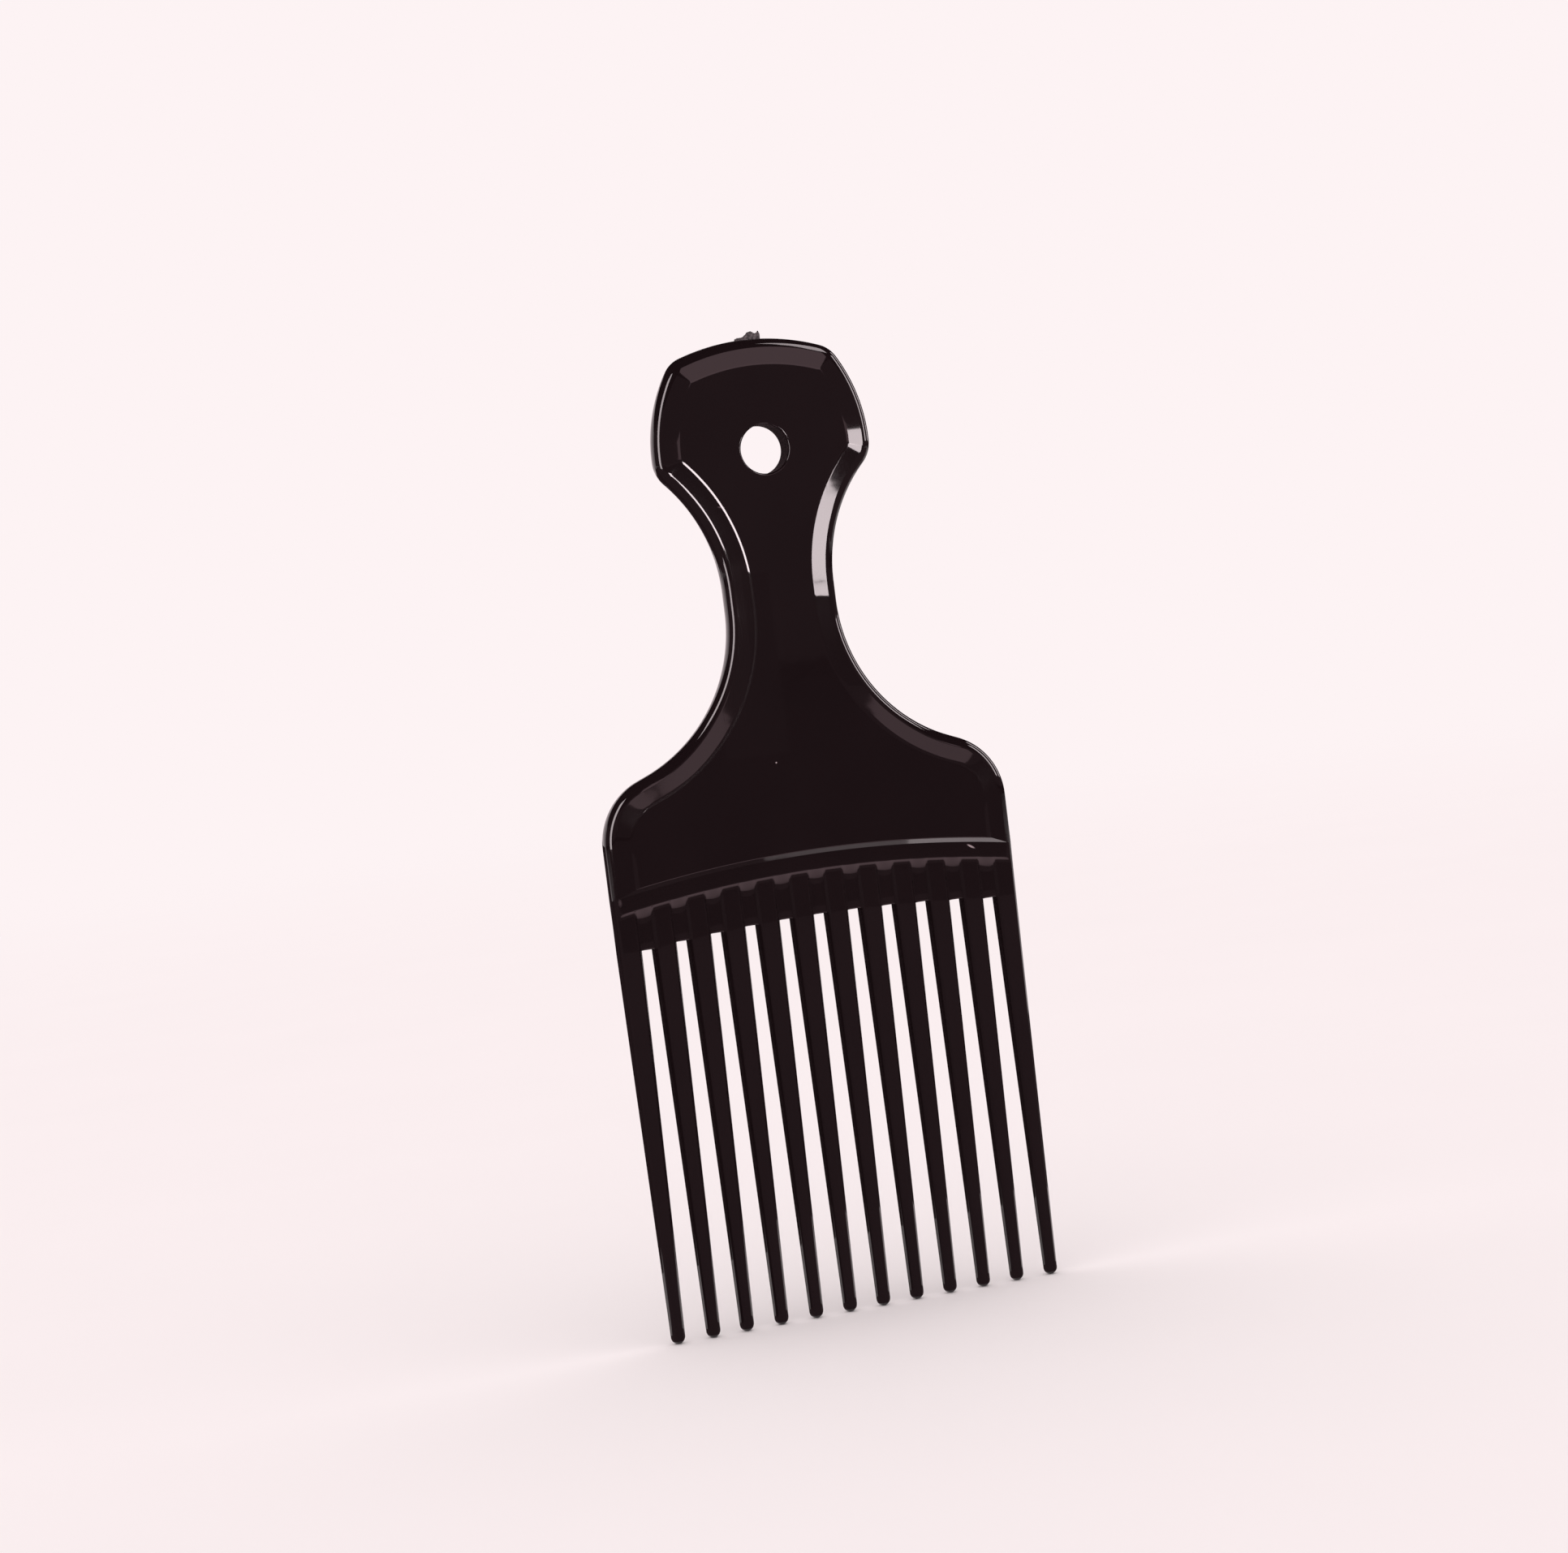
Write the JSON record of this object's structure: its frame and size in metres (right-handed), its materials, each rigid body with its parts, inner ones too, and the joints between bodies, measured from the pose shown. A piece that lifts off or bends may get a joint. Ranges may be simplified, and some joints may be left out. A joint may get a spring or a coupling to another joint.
{
  "type": "afro pick",
  "caption": "Flat moulded plastic hair pick with long tapered teeth, an arched tooth bar, flared shoulders, a narrow waist and a bevelled handle with a hang hole.",
  "frame": {"origin": "middle of the hang hole, halfway through the handle's thickness", "axes": "+Z along the pick towards the top of the handle with the teeth down, +X across the teeth, +Y from the front face to the back face"},
  "size_m": [0.069, 0.0048, 0.1614],
  "materials": {
    "moulded_plastic": "polished injection moulding, black with a faint warm purple-brown tint",
    "trimmed_plastic": "cut and torn stub of the moulding gate, stress-whitened and dull"
  },
  "bodies": {
    "root": {"handle": "moulded_plastic", "tooth_bar": "moulded_plastic", "gate_stub": "trimmed_plastic", "tooth_01": "moulded_plastic", "tooth_02": "moulded_plastic", "tooth_03": "moulded_plastic", "tooth_04": "moulded_plastic", "tooth_05": "moulded_plastic", "tooth_06": "moulded_plastic", "tooth_07": "moulded_plastic", "tooth_08": "moulded_plastic", "tooth_09": "moulded_plastic", "tooth_10": "moulded_plastic", "tooth_11": "moulded_plastic", "tooth_12": "moulded_plastic"}
  },
  "joints": []
}
